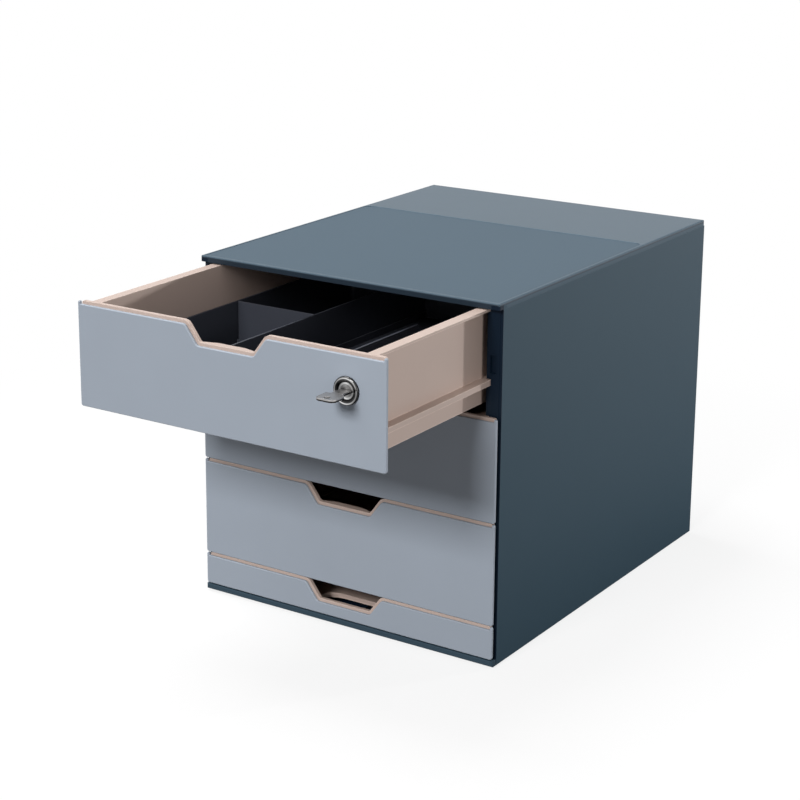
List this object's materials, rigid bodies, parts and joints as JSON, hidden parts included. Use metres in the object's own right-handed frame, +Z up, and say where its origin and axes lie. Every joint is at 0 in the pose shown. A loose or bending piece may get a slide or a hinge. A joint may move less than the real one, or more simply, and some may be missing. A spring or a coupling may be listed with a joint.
{
  "type": "desktop drawer organizer",
  "caption": "Desktop drawer box with notched drawer fronts on pale trays, a keyed cam lock on the top drawer and a divided organiser tray inside it.",
  "frame": {"origin": "centre of the casing's footprint, at the height the rubber feet stand on", "axes": "+X to the right seen from the front, front towards -Y, +Z up; the top drawer is stored open by 150 mm"},
  "size_m": [0.28, 0.5341, 0.292],
  "materials": {
    "casing": "fine matt grain",
    "front": "satin",
    "tray": "satin",
    "organiser": "matt",
    "lock": "polished",
    "steel": "zinc plated",
    "rubber": "matt"
  },
  "bodies": {
    "casing": {"top_panel": "casing", "base_panel": "casing", "left_side_panel": "casing", "right_side_panel": "casing", "back_panel": "casing", "front_left_foot": "rubber", "front_right_foot": "rubber", "rear_left_foot": "rubber", "rear_right_foot": "rubber"},
    "drawer_1": {"drawer_1_tray": "tray", "drawer_1_front": "front", "organiser_tray": "organiser", "left_divider": "organiser", "right_divider": "organiser", "cross_divider": "organiser", "lock_barrel": "lock", "lock_nut": "steel"},
    "drawer_2": {"drawer_2_tray": "tray", "drawer_2_front": "front"},
    "drawer_3": {"drawer_3_tray": "tray", "drawer_3_front": "front"},
    "drawer_4": {"drawer_4_tray": "tray", "drawer_4_front": "front"},
    "lock": {"lock_plug": "lock", "lock_cam": "steel", "cam_screw": "steel"},
    "key": {"lock_key": "lock"}
  },
  "joints": [
    {"name": "drawer_1_slide", "type": "slide", "parent": "casing", "child": "drawer_1", "axis": [0, -1, 0], "range_m": [-0.15, 0.1]},
    {"name": "drawer_2_slide", "type": "slide", "parent": "casing", "child": "drawer_2", "axis": [0, -1, 0], "range_m": [0, 0.25]},
    {"name": "drawer_3_slide", "type": "slide", "parent": "casing", "child": "drawer_3", "axis": [0, -1, 0], "range_m": [0, 0.25]},
    {"name": "drawer_4_slide", "type": "slide", "parent": "casing", "child": "drawer_4", "axis": [0, -1, 0], "range_m": [0, 0.25]},
    {"name": "lock_turn", "type": "hinge", "parent": "drawer_1", "child": "lock", "pos_m": [0.1065, -0.32, 0.258], "axis": [0, 1, 0], "range_deg": [0, 90]},
    {"name": "key_pull", "type": "slide", "parent": "lock", "child": "key", "axis": [0, -1, 0], "range_m": [0, 0.02]}
  ]
}
